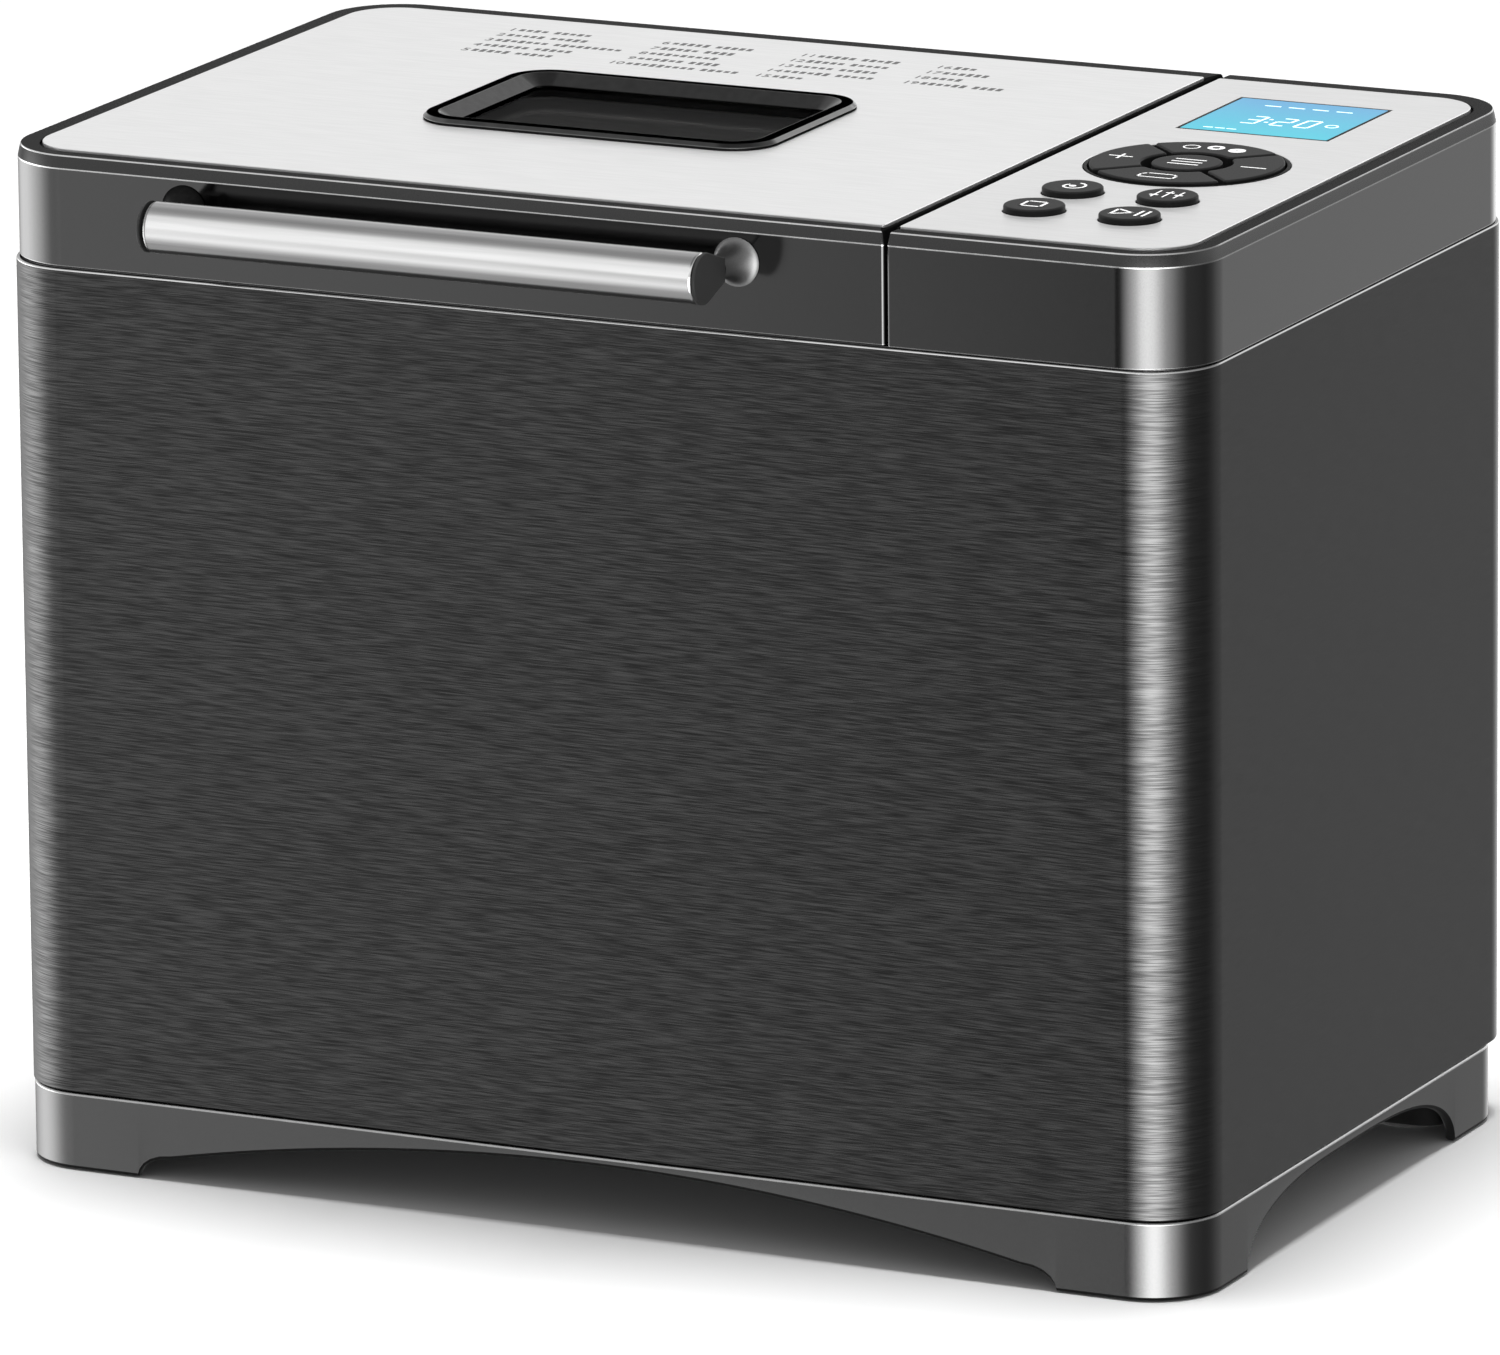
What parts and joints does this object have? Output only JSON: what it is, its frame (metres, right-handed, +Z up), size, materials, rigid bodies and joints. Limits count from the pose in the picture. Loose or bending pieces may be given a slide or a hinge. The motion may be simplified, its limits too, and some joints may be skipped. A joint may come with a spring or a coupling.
{
  "type": "bread machine",
  "caption": "Horizontal bread machine: dark brushed steel body, hinged silver lid with window and bar handle, keypad and blue display at the right, lift-out pan and belt-driven paddle.",
  "frame": {"origin": "centre of the overall outline on the floor plane, under the feet", "axes": "+X to the right along the front, +Y to the back, +Z up; the front with the handle faces -Y"},
  "size_m": [0.362, 0.259, 0.2922],
  "materials": {
    "gunmetal_paint": "metallic gunmetal paint, satin",
    "brushed_dark_steel": "dark stainless, horizontal brushing",
    "brushed_silver": "fine brushed silver sheet",
    "gloss_black": "gloss black moulding",
    "key_black": "satin black keys with pale legends",
    "window_glass": "clear toughened glass",
    "lcd_blue": "blue backlit display",
    "satin_steel": "satin stainless",
    "galvanised": "plain galvanised sheet",
    "nonstick_coating": "dark grey ceramic coating",
    "rubber": "matt black rubber",
    "silicone": "grey silicone",
    "ceramic": "white glazed ceramic",
    "circuit_board": "green solder mask",
    "cast_alloy": "die cast",
    "motor_steel": "laminated and painted steel",
    "nylon": "natural nylon"
  },
  "bodies": {
    "root": {"base_tray": "gunmetal_paint", "foot_front_left": "rubber", "foot_front_right": "rubber", "foot_rear_left": "rubber", "foot_rear_right": "rubber", "body_shell": "brushed_dark_steel", "rear_panel": "galvanised", "cord_gland": "gloss_black", "upper_housing": "gunmetal_paint", "chassis": "galvanised", "panel_plate": "brushed_silver", "lcd_display": "lcd_blue", "keypad_dish": "gloss_black", "control_board": "circuit_board", "power_board": "circuit_board", "hinge_bracket_left": "satin_steel", "hinge_bracket_right": "satin_steel", "hinge_pin_left": "satin_steel", "hinge_pin_right": "satin_steel", "oven_chamber": "galvanised", "heating_element": "motor_steel", "terminal_bushing_front": "ceramic", "terminal_bushing_rear": "ceramic", "temperature_sensor": "satin_steel", "pan_seat": "cast_alloy", "bearing_housing": "cast_alloy", "drive_belt": "rubber", "motor_housing": "motor_steel"},
    "lid": {"lid_frame": "gunmetal_paint", "lid_plate": "brushed_silver", "window_bezel": "gloss_black", "window_glass": "window_glass", "inner_glass": "window_glass", "lid_liner": "satin_steel", "lid_seal": "silicone", "handle_bar": "brushed_silver", "handle_arm_left": "gloss_black", "handle_arm_right": "gloss_black", "handle_post_left": "gunmetal_paint", "handle_post_right": "gunmetal_paint"},
    "pan": {"bread_pan": "nonstick_coating", "pan_base_ring": "cast_alloy", "pan_bushing": "cast_alloy"},
    "bail": {"bail_handle": "satin_steel"},
    "paddle": {"paddle_shaft": "satin_steel", "kneading_paddle": "nonstick_coating"},
    "drive": {"drive_shaft": "satin_steel", "large_pulley": "nylon"},
    "rotor": {"motor_shaft": "satin_steel", "small_pulley": "nylon", "motor_fan": "nylon"},
    "plus_button": {"plus_key": "key_black"},
    "colour_button": {"colour_key": "key_black"},
    "minus_button": {"minus_key": "key_black"},
    "loaf_button": {"loaf_key": "key_black"},
    "menu_button": {"menu_key": "key_black"},
    "knead_button": {"knead_key": "key_black"},
    "custom_button": {"custom_key": "key_black"},
    "stop_button": {"stop_key": "key_black"},
    "start_button": {"start_key": "key_black"}
  },
  "joints": [
    {"name": "lid_hinge", "type": "hinge", "parent": "root", "child": "lid", "pos_m": [0, 0.11935, 0.2648], "axis": [-1, 0, 0], "range_deg": [0, 85]},
    {"name": "pan_lift", "type": "slide", "parent": "root", "child": "pan", "axis": [0, 0, 1], "range_m": [0, 0.012]},
    {"name": "bail_swing", "type": "hinge", "parent": "pan", "child": "bail", "pos_m": [-0.04, 0.01105, 0.231], "axis": [-1, 0, 0], "range_deg": [0, 15]},
    {"name": "paddle_spin", "type": "hinge", "parent": "pan", "child": "paddle", "pos_m": [-0.04, 0.01105, 0.1123], "axis": [0, 0, 1], "continuous": true},
    {"name": "drive_spin", "type": "hinge", "parent": "root", "child": "drive", "pos_m": [-0.04, 0.01105, 0.036], "axis": [0, 0, 1], "continuous": true},
    {"name": "motor_spin", "type": "hinge", "parent": "root", "child": "rotor", "pos_m": [0.124, 0.01105, 0.036], "axis": [0, 0, 1], "continuous": true},
    {"name": "plus_press", "type": "slide", "parent": "root", "child": "plus_button", "axis": [0, 0, -1], "range_m": [0, 0.0008], "stiffness_N_per_m": 600, "springref_m": -0.0008},
    {"name": "colour_press", "type": "slide", "parent": "root", "child": "colour_button", "axis": [0, 0, -1], "range_m": [0, 0.0008], "stiffness_N_per_m": 600, "springref_m": -0.0008},
    {"name": "minus_press", "type": "slide", "parent": "root", "child": "minus_button", "axis": [0, 0, -1], "range_m": [0, 0.0008], "stiffness_N_per_m": 600, "springref_m": -0.0008},
    {"name": "loaf_press", "type": "slide", "parent": "root", "child": "loaf_button", "axis": [0, 0, -1], "range_m": [0, 0.0008], "stiffness_N_per_m": 600, "springref_m": -0.0008},
    {"name": "menu_press", "type": "slide", "parent": "root", "child": "menu_button", "axis": [0, 0, -1], "range_m": [0, 0.0008], "stiffness_N_per_m": 600, "springref_m": -0.0008},
    {"name": "knead_press", "type": "slide", "parent": "root", "child": "knead_button", "axis": [0, 0, -1], "range_m": [0, 0.0008], "stiffness_N_per_m": 600, "springref_m": -0.0008},
    {"name": "custom_press", "type": "slide", "parent": "root", "child": "custom_button", "axis": [0, 0, -1], "range_m": [0, 0.0008], "stiffness_N_per_m": 600, "springref_m": -0.0008},
    {"name": "stop_press", "type": "slide", "parent": "root", "child": "stop_button", "axis": [0, 0, -1], "range_m": [0, 0.0008], "stiffness_N_per_m": 600, "springref_m": -0.0008},
    {"name": "start_press", "type": "slide", "parent": "root", "child": "start_button", "axis": [0, 0, -1], "range_m": [0, 0.0008], "stiffness_N_per_m": 600, "springref_m": -0.0008}
  ],
  "couplings": [
    {"joint": "drive_spin", "follows": "motor_spin", "ratio": 0.2},
    {"joint": "paddle_spin", "follows": "motor_spin", "ratio": 0.2}
  ]
}
